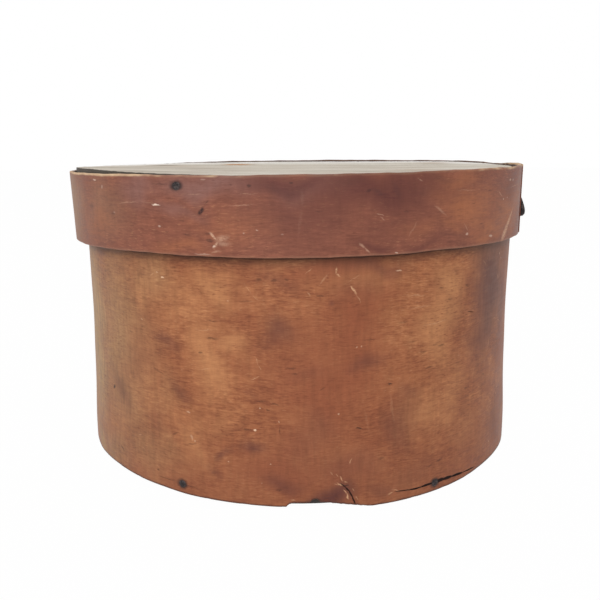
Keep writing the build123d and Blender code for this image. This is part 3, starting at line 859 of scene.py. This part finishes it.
# Marks on the lid band, in mm from the front along it and up it
lid_golden = [
    (-32, 15, 90, 26, 0, 0.3), (106, 22, 84, 40, -12, 0.82), (98, 38, 50, 20, 0, 0.7),
    (154, 18, 80, 50, 0, 0.75), (128, 6, 90, 22, 0, 0.7), (-66, 4, 50, 12, 0, 0.5), (64, 14, 40, 14, 0, 0.3),
    (88, 12, 36, 14, 0, 0.5), (-130, 14, 50, 26, 0, 0.4),
]
lid_purple = [
    (-4, 38, 90, 22, 0, 0.82), (42, 34, 170, 40, 0, 0.82), (54, 30, 60, 30, 0, 0.6),
    (10, 24, 100, 40, 0, 0.45), (48, 16, 60, 30, 0, 0.3), (152, 30, 44, 24, 0, 0.4), (44, 3, 40, 9, 0, 0.7),
    (70, 4, 30, 9, 0, 0.6),
]
lid_stains = [
    (39, 34, 11, 5, 0, 0.5), (52, 35, 7, 13, 0, 0.35), (-10, 36, 26, 8, 0, 0.2), (25, 38, 30, 9, 0, 0.25),
    (-45, 10.5, 12, 6, 0, 0.3), (140, 19, 22, 6, -20, 0.3), (85, 39, 30, 5, 8, 0.35),
    (75, 30, 20, 8, 0, 0.2),
]
lid_flecks = [
    (-50, 24.2, 6.4, 3, 48, 1), (-47, 28.8, 4, 0.8, 45, 0.5), (-23.5, 37.5, 4, 2, 0, 0.6),
    (-2, 38.5, 3, 1.3, 0, 0.6), (-46, 9, 5.5, 2, 0, 0.6), (-47, 12.6, 4, 1.6, -10, 0.5),
    (-59, 11.5, 7, 1.4, -14, 0.45), (38, 34, 4, 2, 0, 0.5), (-113, 21, 5, 1.4, 0, 0.4),
    (-75, 38, 14, 1, 0, 0.45), (124, 30, 6, 1.4, 0, 0.4), (108, 24, 5, 1.2, 0, 0.35),
    (-33, 38, 2.4, 1, 0, 0.35), (60, 22, 5, 1.2, 0, 0.3), (12, 24, 6, 1, 0, 0.3), (-97, 15, 5, 1.2, 0, 0.3),
    (-138, 24, 7, 4, 0, 0.3), (116, 12, 5, 1.2, 0, 0.3), (-72, 13, 4, 1, 0, 0.3), (-62, 19, 5, 1, 0, 0.3),
]
lid_scratches = [
    (3.5, 36, 3.5, 26, 2.6, 0.05), (3.4, 27, 1, 10, 2.6, 0.05), (33, 6.8, 36.5, 4.4, 2, 0.4),
    (36.2, 4.6, 38.8, 1.4, 1.4, 0.45), (77, 25, 87, 18, 1.8, 0.25), (67, 17.5, 61, 8, 1.6, 0.14),
    (133, 30, 141, 25, 1, 0.35), (42, 22, 47, 20.6, 0.8, 0.35), (44, 20.5, 47.5, 17.5, 0.8, 0.25),
    (-46, 13.2, -42, 9.4, 2.2, 0.8), (-44, 5.4, -40.5, 8.4, 2.4, 0.6), (-42.5, 9.4, -36, 10.8, 5, 0.42),
    (-42, 7.6, -35, 7.4, 4.4, 0.3), (-46, 2.6, -40, 3.4, 1.6, 0.3), (142, -1, 152, 8.5, 6.4, 0.75),
    (147, 4, 158, 14.5, 4.6, 0.7), (153, 10, 161, 17.5, 2.6, 0.6), (-110, 26.6, -88, 28.6, 0.9, 0.3),
    (-92, 28.4, -76, 27.6, 0.7, 0.2), (-36, 27, -20, 27.8, 0.9, 0.3), (-30, 33, -18, 33.6, 0.8, 0.2),
    (100, 14, 104, 8, 0.8, 0.3), (-60, 33, -48, 33, 0.8, 0.2), (66, 39, 70, 37.5, 1, 0.3),
    (92, 32, 112, 31, 1, 0.2), (150, 30, 176, 31.5, 1, 0.3),
]
lid_specks = [
    (-78, 27.2, 7.4, 1, -3, 1), (-76.5, 15.8, 3, 1.6, 0, 0.39), (-131, 39.4, 5, 1.2, -8, 0.6),
    (-122.5, 35.5, 2.4, 3, 0, 0.25), (-112, 21.6, 3, 1.3, 0, 0.15), (-43.6, 6, 2, 1.2, 0, 0.52),
    (-20, 14.5, 2, 0.9, -15, 0.33), (-27, 13, 1.8, 0.9, 0, 0.26), (-7, 12.5, 2.4, 1, 0, 0.15),
    (103, 7, 3, 1.6, 0, 0.4), (127, 3.6, 5, 1.8, -8, 0.4), (142, 24.2, 2, 1.2, 0, 0.45),
    (148, 24.5, 2, 0.9, 0, 0.26), (152, 35, 4, 2, 0, 0.39), (158, 34.5, 3.4, 2, 0, 0.23),
    (54.5, 0.4, 3, 1, 0, 0.45), (-50, 1.6, 14, 1.2, 0, 0.2), (-48, 40.5, 4, 1, 0, 0.2),
]
# Greyer, mauve wood at the top left, and paler, greener wood at the left
lid_mauve = [
    (-46, 38, 90, 24, 0, 0.8), (-90, 36, 60, 26, 0, 0.7), (4, 36, 60, 20, 0, 0.4), (-66, 24, 60, 14, 0, 0.5),
]
lid_olive = [(-176, 22, 90, 80, 0, 0.9), (-124, 22, 80, 60, 0, 0.4)]
# Stretches of the rim that are rubbed pale
rubbed_rim = [
    (-160, 43, 120, 24, 0, 1.1), (-124, 43, 90, 24, 0, 1.3), (-88, 43, 60, 24, 0, 0.9),
    (-44, 43, 50, 12, 0, 0.5), (12, 43.5, 14, 6, 0, 0.6), (150, 43, 90, 20, 0, 0.6),
    (126, 43, 36, 12, 0, 0.9), (-735, 43, 160, 24, 0, 1), (220, 43, 120, 24, 0, 1),
]


def lid_wood():
    """Darker, mauve-brown stained wood, with its rim rubbed pale."""
    finish = Finish(bpy.data.materials.new("lid_wood_worn"))
    along, up, depth = finish.attribute("strip_mm")
    golden, rubbed_place, purple = finish.attribute("patches")
    stained, olive, mauve = finish.attribute("stains")
    to_high, to_low = finish.attribute("edges_mm")[:2]
    place = finish.vector(along, up, 0)
    colour, fibres, streaks, dashes, smears = bent_wood(finish, place, 0.62, (
        (0.2, (0.14, 0.044, 0.029)), (0.42, (0.20, 0.067, 0.042)),
        (0.62, (0.26, 0.090, 0.054)), (0.85, (0.36, 0.142, 0.083)),
    ))
    near = finish.wandering(place, 3, 1.8)
    grainy = 0.15 + 0.9 * streaks + 0.8 * fibres
    colour = finish.painted(
        colour,
        (olive * grainy, (0.300, 0.160, 0.088)),
        (golden * grainy, (0.38, 0.135, 0.060)),
        (mauve * grainy, (0.245, 0.118, 0.098)),
        (purple * grainy, (0.105, 0.031, 0.026)),
        (stained, (0.072, 0.030, 0.027)),
    )
    colour = finish.shaded(colour, 0.98 + (smears - 0.5) * (0.3 + olive * 0.5) + (streaks - 0.5) * 0.15)
    pale, broken = worn_pale(finish, place, near, lid_scratches)
    rings = nail_rings(lid_nails, lid_radius, 0, 11, 7.6, 0.9)
    uneven = (finish.noise(place, (9, 2.4, 1), 3) - 0.5) * 2
    foot = finish.between(to_low + uneven, 0.2, 1.6, 0.3, 0)
    lap_line = [(lid_radius * radians(lid_lap_azimuth), 21, 2.4, 60, 0, 0.75)]
    inside = finish.between(depth, 0.6, 0.9)
    bare = finish.ramp(
        streaks + (fibres - 0.5) * 0.5,
        (0.25, (0.035, 0.016, 0.012)), (0.5, (0.06, 0.027, 0.02)), (0.75, (0.10, 0.05, 0.034)),
    )
    worn_place = rubbed_place + (finish.noise(place, (9, 30, 1), 2) - 0.5) * 1.1
    near_rim = finish.between(to_high + uneven * 0.7, 0.5, 1.6, 1, 0)
    rubbed = near_rim * finish.between(worn_place, 0.1, 0.9, 0.1, 1)
    colour = finish.painted(
        colour,
        (dashes * 0.35, (0.12, 0.036, 0.022)),
        (finish.spots(near, lid_flecks, 0.35) * (0.6 + 0.4 * broken), (0.045, 0.020, 0.018)),
        (pale, (0.60, 0.36, 0.24)),
        (finish.spots(near, lid_specks, 0.35), (0.78, 0.60, 0.48)),
        (finish.spots(near, rings, 0.35), (0.020, 0.014, 0.015)),
        (foot, (0.40, 0.21, 0.13)),
        (finish.spots(place, lap_line, 0.1), (0.05, 0.022, 0.015)),
        (inside, bare),
        (rubbed, finish.painted((0.46, 0.28, 0.16), (fibres, (0.78, 0.56, 0.36)))),
    )
    roughness = 0.5 + (streaks - 0.5) * 0.25 + pale * 0.15 + rubbed * 0.2
    return finish.surface(colour, roughness, fibres * 0.05 + streaks * 0.05, Specular_IOR_Level=0.21)


# Marks on the lid's boards, in mm to the right and back from the middle of the box
board_cracks = [
    (-60, -8, 70, -5, 0.9, 0.5), (20, 12, 149, 16, 0.8, 0.5), (-149, -30, -70, -27, 0.9, 0.6),
    (30, -60, 120, -58, 0.7, 0.35), (-80, 96, 30, 98, 0.8, 0.45), (-20, 72, 110, 75, 0.7, 0.4),
    (-100, -84, -10, -81, 0.7, 0.3), (100, -20, 150, -22, 0.8, 0.5),
]
board_stains = [
    (-47, 63, 44, 26, 0, 1), (-47, 62, 30, 16, 0, 1), (-112, 32, 90, 20, 4, 0.5), (10, 40, 70, 12, 0, 0.35),
    (70, -70, 60, 40, 0, 0.3), (-90, 20, 50, 36, 0, 0.3), (20, -110, 80, 30, 0, 0.25),
    (110, 60, 50, 40, 0, 0.3),
]


def sawn_grain(finish, drift_size, drift_reach, years_size, lines_size, fibres_size):
    """Grain from left to right on a board: its place, the years' bands, fine lines and fibres."""
    place = finish.object_place()
    drift = (finish.noise(place, drift_size, 2) - 0.5) * drift_reach
    grain = finish.shifted(place, finish.vector(0, drift, 0))
    years = finish.noise(grain, years_size, 3, 0.55)
    lines = finish.noise(grain, lines_size, 3, 0.6)
    return place, years, lines, finish.noise(grain, fibres_size, 2, 0.6)


def board_wood():
    """Bare boards gone grey, with fine grain from left to right and drying cracks. Their edges are painted
    dark as shade, and the back is painted paler, partly as a painted sheen.
    """
    finish = Finish(bpy.data.materials.new("lid_boards_weathered"))
    sizes = ((150, 60, 60), 26, (260, 7, 9), (90, 1.1, 1.4), (16, 0.4, 0.5))
    place, years, lines, fibres = sawn_grain(finish, *sizes)
    x, y = finish.split(place)[:2]
    cloud = finish.noise(place, (60, 40, 40), 3, 0.6)
    tone = 0.5 + (years - 0.5) * 1.0 + (cloud - 0.5) * 0.5 + (lines - 0.5) * 0.5
    colour = finish.ramp(
        tone,
        (0.22, (0.40, 0.325, 0.245)), (0.42, (0.57, 0.50, 0.41)),
        (0.6, (0.70, 0.635, 0.54)), (0.82, (0.80, 0.755, 0.67)),
    )
    from_middle = finish.length(finish.vector(x - lid_shift, y, 0))
    # The back board and the boards near the back rim are painted paler: partly weathered wood, partly a
    # painted sheen
    paler_and_sheen = finish.between(y + (years - 0.5) * 40, lid_joint - 2, lid_joint + 50, 0, 0.6)
    paler_and_sheen = finish.larger(paler_and_sheen, finish.between(from_middle, 114, 140, 0, 1) * finish.between(y, 0, 60))
    stained_place = finish.flat(finish.wandering(place, 18, 10))
    near = finish.flat(finish.wandering(place, 9, 2.2))
    cracks = finish.strokes(near, board_cracks, 0)
    hairs = finish.between(lines, 0.30, 0.40, 1, 0) * finish.between(years, 0.35, 0.6)
    joint_lines = [(lid_shift, lid_joint, 400, 3.4, 0, 0.85), (lifted_x, lid_joint + 0.5, 50, 5, 0, 0.6)]
    sliver = [(sliver_x, lid_joint + 1.5, 32, 6, 0, 0.85)]
    # The boards' edge under the band's rim is painted nearly black: painted shade
    side = finish.between(from_middle, lid_board_radius - 0.6, lid_board_radius - 0.2)
    shaded_edge_wood = finish.ramp(fibres, (0.35, (0.018, 0.012, 0.009)), (0.65, (0.100, 0.080, 0.062)))
    colour = finish.painted(
        finish.shaded(colour, 1 + (fibres - 0.5) * 0.35),
        (paler_and_sheen, (0.93, 0.905, 0.85)),
        (finish.spots(stained_place, board_stains, 0), (0.36, 0.16, 0.06)),
        (hairs * 0.45, (0.16, 0.12, 0.09)),
        (cracks, (0.055, 0.035, 0.025)),
        (finish.spots(finish.vector(x, y, 0), joint_lines, 0.1), (0.07, 0.042, 0.028)),
        (finish.spots(near, sliver, 0.3), (0.50, 0.23, 0.09)),
        (side * 0.97, shaded_edge_wood),
    )
    roughness = 0.62 + (fibres - 0.5) * 0.2
    height = fibres * 0.05 + lines * 0.12 - hairs * 0.15 - cracks * 0.6
    return finish.surface(colour, roughness, height, Specular_IOR_Level=0.2)


def bottom_wood():
    """Bare bottom boards, browner than the lid's, with saw marks across the grain."""
    finish = Finish(bpy.data.materials.new("bottom_boards_aged"))
    sizes = ((140, 50, 50), 24, (220, 8, 9), (80, 1.2, 1.4), (14, 0.4, 0.5))
    place, years, lines, fibres = sawn_grain(finish, *sizes)
    x, y = finish.split(place)[:2]
    saw = finish.noise(finish.wandering(place, 60, 14), (1.6, 120, 40), 2)
    cloud = finish.noise(place, (55, 45, 40), 4, 0.65)
    tone = 0.5 + (years - 0.5) * 0.9 + (cloud - 0.5) * 0.8 + (lines - 0.5) * 0.5 + (saw - 0.5) * 0.3
    colour = finish.ramp(
        tone,
        (0.2, (0.13, 0.075, 0.042)), (0.45, (0.235, 0.15, 0.088)),
        (0.65, (0.33, 0.225, 0.14)), (0.88, (0.43, 0.32, 0.21)),
    )
    hairs = finish.between(lines, 0.28, 0.38, 1, 0)
    middle = finish.vector(x, y, 0)
    side = finish.between(finish.length(middle), bottom_radius - 0.7, bottom_radius - 0.3)
    colour = finish.painted(
        finish.shaded(colour, 1 + (fibres - 0.5) * 0.4),
        (hairs * 0.5, (0.07, 0.04, 0.025)),
        (finish.spots(middle, [(0, bottom_joint, 400, 2.6, 0, 0.9)], 0.1), (0.035, 0.022, 0.015)),
        (side, (0.022, 0.014, 0.010)),
    )
    roughness = 0.7 + (fibres - 0.5) * 0.2
    height = fibres * 0.05 + lines * 0.1 + saw * 0.12 - hairs * 0.15
    return finish.surface(colour, roughness, height)


def old_iron():
    """Hand-made nails gone dark, with a little brown rust and rubbed high spots."""
    finish = Finish(bpy.data.materials.new("iron_dark"))
    place = finish.object_place()
    patches = finish.noise(place, (1.6, 1.6, 1.6), 3, 0.6)
    pits = finish.noise(place, (0.5, 0.5, 0.5), 2, 0.6)
    colour = finish.ramp(
        patches,
        (0.3, (0.014, 0.011, 0.011)), (0.5, (0.032, 0.025, 0.025)),
        (0.66, (0.088, 0.070, 0.066)), (0.8, (0.07, 0.035, 0.022)),
    )
    colour = finish.shaded(colour, 0.7 + 0.6 * pits)
    roughness = 0.62 + (patches - 0.5) * 0.3
    height = patches * 0.12 + pits * 0.06
    return finish.surface(colour, roughness, height, Metallic=0.3, Specular_IOR_Level=0.25)


# Room and camera

floor_radius = 6
sky_strength = 0.5
lens_length = 42.8
sensor_width = 36
lens_shift = 0.0008
camera_place = (0, -0.51926, 0.20304)
# How far the camera looks down and is rolled, in radians
look_down, roll = 0.2151, -0.0048


def floor():
    """A wide pale floor. The camera sees it almost white, and it still takes the object's shadow."""
    bpy.ops.mesh.primitive_circle_add(vertices=96, radius=floor_radius, fill_type="NGON", location=(0, 0, 0))
    thing = bpy.context.object
    thing.name = "studio_floor"
    finish = Finish(bpy.data.materials.new("floor_pale"))
    tone = finish.between(finish.noise(finish.object_place(), (900, 900, 900), 2), 0.2, 0.8)
    colour = finish.painted((0.83, 0.83, 0.83), (tone, (0.85, 0.85, 0.85)))
    matt = finish.node("ShaderNodeBsdfDiffuse", {}, {"Color": colour})
    glow = finish.node("ShaderNodeEmission", {}, {"Color": (1, 1, 1, 1), "Strength": 1})
    mixed = finish.node("ShaderNodeMixShader", {}, {0: finish.directly_seen() * 0.985, 1: matt, 2: glow})
    thing.data.materials.append(finish.joined_to("ShaderNodeOutputMaterial", mixed))


def daylight():
    """Even light from all round, which the camera sees as plain white."""
    sky = Finish(bpy.data.worlds.new("studio_white"))
    seen = {"Value": sky.directly_seen(), "To Min": sky_strength, "To Max": 1}
    strength = sky.node("ShaderNodeMapRange", {}, seen)
    white = sky.node("ShaderNodeBackground", {}, {"Color": (1, 1, 1, 1), "Strength": strength})
    bpy.context.scene.world = sky.joined_to("ShaderNodeOutputWorld", white)


def softbox(name, place, aim, size, power):
    """A large soft lamp at a place in metres, facing a point."""
    lamp = bpy.data.lights.new(name, "AREA")
    lamp.shape = "SQUARE"
    lamp.size = size
    lamp.energy = power
    thing = bpy.data.objects.new(name, lamp)
    bpy.context.scene.collection.objects.link(thing)
    way = (Vector(aim) - Vector(place)).normalized()
    thing.matrix_world = Matrix.Translation(place) @ way.to_track_quat("-Z", "Y").to_matrix().to_4x4()


def camera():
    """The photograph's camera, fitted to the box's outlines: 12.3 degrees down and rolled by 0.3."""
    lens = bpy.data.cameras.new("photo_view")
    lens.sensor_width = sensor_width
    lens.lens = lens_length
    lens.shift_x = lens_shift
    lens.clip_start = 0.01
    thing = bpy.data.objects.new("photo_view", lens)
    bpy.context.scene.collection.objects.link(thing)
    right, up = np.array([1, 0, 0]), np.array([0, sin(look_down), cos(look_down)])
    back = (0, -cos(look_down), sin(look_down))
    across = right * cos(roll) + up * sin(roll)
    upright = up * cos(roll) - right * sin(roll)
    turn = Matrix((across, upright, back)).transposed().to_4x4()
    thing.matrix_world = Matrix.Translation(camera_place) @ turn
    bpy.context.scene.camera = thing


# The box

# Stretches with closer columns: from and to an azimuth, and how many
body_zones = ((295, 425, 210), (354, 377, 90))
lid_zones = ((275, 445, 330),)
# Where the rows up a band lie, and how round its lower and upper edges are
body_rows = np.concatenate([np.linspace(0, 0.05, 8), np.linspace(0.05, 1, 60)[1:]])
lid_rows = np.linspace(0, 1, 30)
body_rounds = (0.35, 0.6)
lid_rounds = (0.5, 0.8)
# Each board's side of the joint, how far behind the joint it ends, and whether it is the back one
board_sides = (("front", -board_gap, False), ("back", board_gap, True))
# The boards' upper faces, with room left for their relief, then how round and how hollow they are
relief_room = 0.1
lid_face = body_height + board_thickness - relief_room
bottom_face = bottom_low + board_thickness - relief_room
lid_board_wear = (0.5, 0.25)
bottom_board_wear = (0.4, 0.2)


def marks_on(place, edges, low, *tables):
    """What a band's finish reads at each point: its place, its edges, and how strong each patch is."""
    marked = place - (0, low, 0)
    patches, soiled = [
        np.stack([soft_patches(marked, table) for table in three], axis=-1) for three in tables
    ]
    return ("strip_mm", place), ("edges_mm", edges), ("patches", patches), ("stains", soiled)


body_finish, lid_finish, board_finish = body_wood(), lid_wood(), board_wood()
bottom_finish, iron_finish = bottom_wood(), old_iron()

points, faces, place, edges = bent_strip(
    base_radius, body_thickness, body_lap_azimuth, body_lap_length,
    body_zones, body_rows, body_rounds, body_foot, body_rim, body_plan,
)
patch_tables = (golden_patches, red_patches, purple_patches)
marks = marks_on(place, edges, marks_low, patch_tables, (stains, olive_sheen_patches, []))
piece("body_band_worn", (points, faces), body_finish, "body", "body_band", marks)
points, faces, place, edges = bent_strip(
    lid_radius, lid_thickness, lid_lap_azimuth, lid_lap_length,
    lid_zones, lid_rows, lid_rounds, lid_foot, lid_rim, lid_plan,
)
patch_tables = (lid_golden, rubbed_rim, lid_purple)
marks = marks_on(place, edges, 0, patch_tables, (lid_stains, lid_olive, lid_mauve))
piece("lid_band_worn", (on_lid(points), faces), lid_finish, "lid", "lid_band", marks)
for side, gap, back in board_sides:
    node = f"lid_board_{side}"
    sizes = (lid_shift, lid_board_radius, lid_joint + gap, back, body_height, lid_face)
    points, faces = round_board(*sizes, *lid_board_wear)
    points[:, 2] += board_warp(points[:, 0] - lid_shift, points[:, 1])
    piece(f"{node}_weathered", (points, faces), board_finish, "lid", node)
for side, gap, back in board_sides:
    node = f"bottom_board_{side}"
    sizes = (0, bottom_radius, bottom_joint + gap, back, bottom_low, bottom_face)
    piece(f"{node}_aged", round_board(*sizes, *bottom_board_wear), bottom_finish, "body", node)
irons = (
    ("bottom_nails", "hammered", "body", cut_nails(bottom_nails, base_radius, body_plan)),
    ("body_lap_tacks", "clinched", "body", lap_tacks(body_tacks, base_radius, body_thickness, body_plan)),
    ("lid_nails", "hammered", "lid", cut_nails(lid_nails, lid_radius, lid_plan)),
    ("lid_lap_tacks", "clinched", "lid", lap_tacks(lid_tacks, lid_radius, lid_thickness, lid_plan)),
    ("lid_bent_nail", "rusty", "lid", bent_nail()),
)
for node, look, body, (points, faces) in irons:
    if body == "lid":
        points = on_lid(points)
    piece(f"{node}_{look}", (points, faces), iron_finish, body, node)

floor()
daylight()
softbox("softbox_front", (-0.55, -2.7, 1.5), (0, 0, 0.1), 1.4, 50)
softbox("softbox_top", (0.2, 0.7, 2.6), (0, 0, 0.18), 1.6, 7)
camera()
bpy.context.scene.view_settings.view_transform = "Standard"
